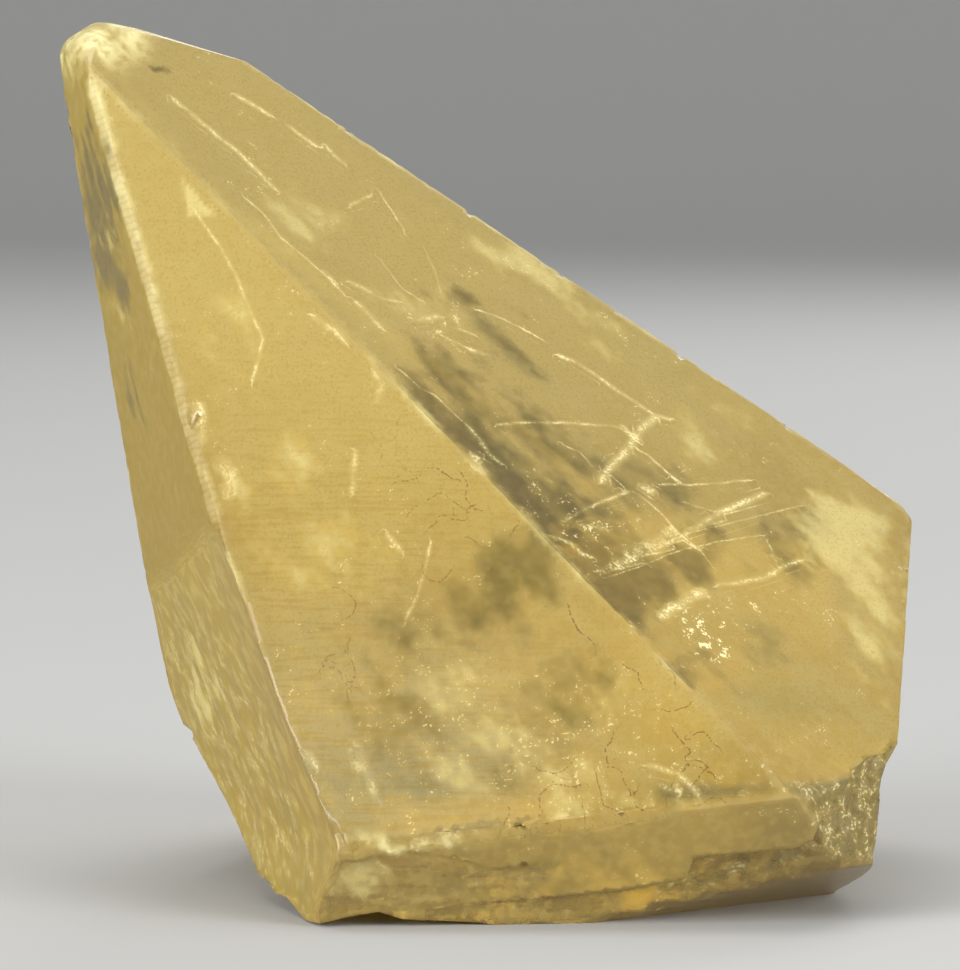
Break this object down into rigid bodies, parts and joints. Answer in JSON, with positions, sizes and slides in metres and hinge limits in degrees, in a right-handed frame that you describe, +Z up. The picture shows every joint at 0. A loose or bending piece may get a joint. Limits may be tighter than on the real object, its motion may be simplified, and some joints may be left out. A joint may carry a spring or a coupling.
{
  "type": "calcite crystal",
  "caption": "Pointed honey-yellow calcite crystal with flat slanting faces and a rounded tip, standing on its broken base, leaning to one side.",
  "frame": {"origin": "centre of the bounding box in plan, on the level of the flat patches that the crystal rests on", "axes": "+Z up, -Y towards the viewer of the picture, +X to the viewer's right; the tip leans towards -X"},
  "size_m": [0.1008, 0.0878, 0.101],
  "materials": {
    "honey_calcite": "cloudy, see-through in places, flat faces satin to glossy, broken faces rough"
  },
  "bodies": {
    "root": {"calcite_crystal": "honey_calcite"}
  },
  "joints": []
}
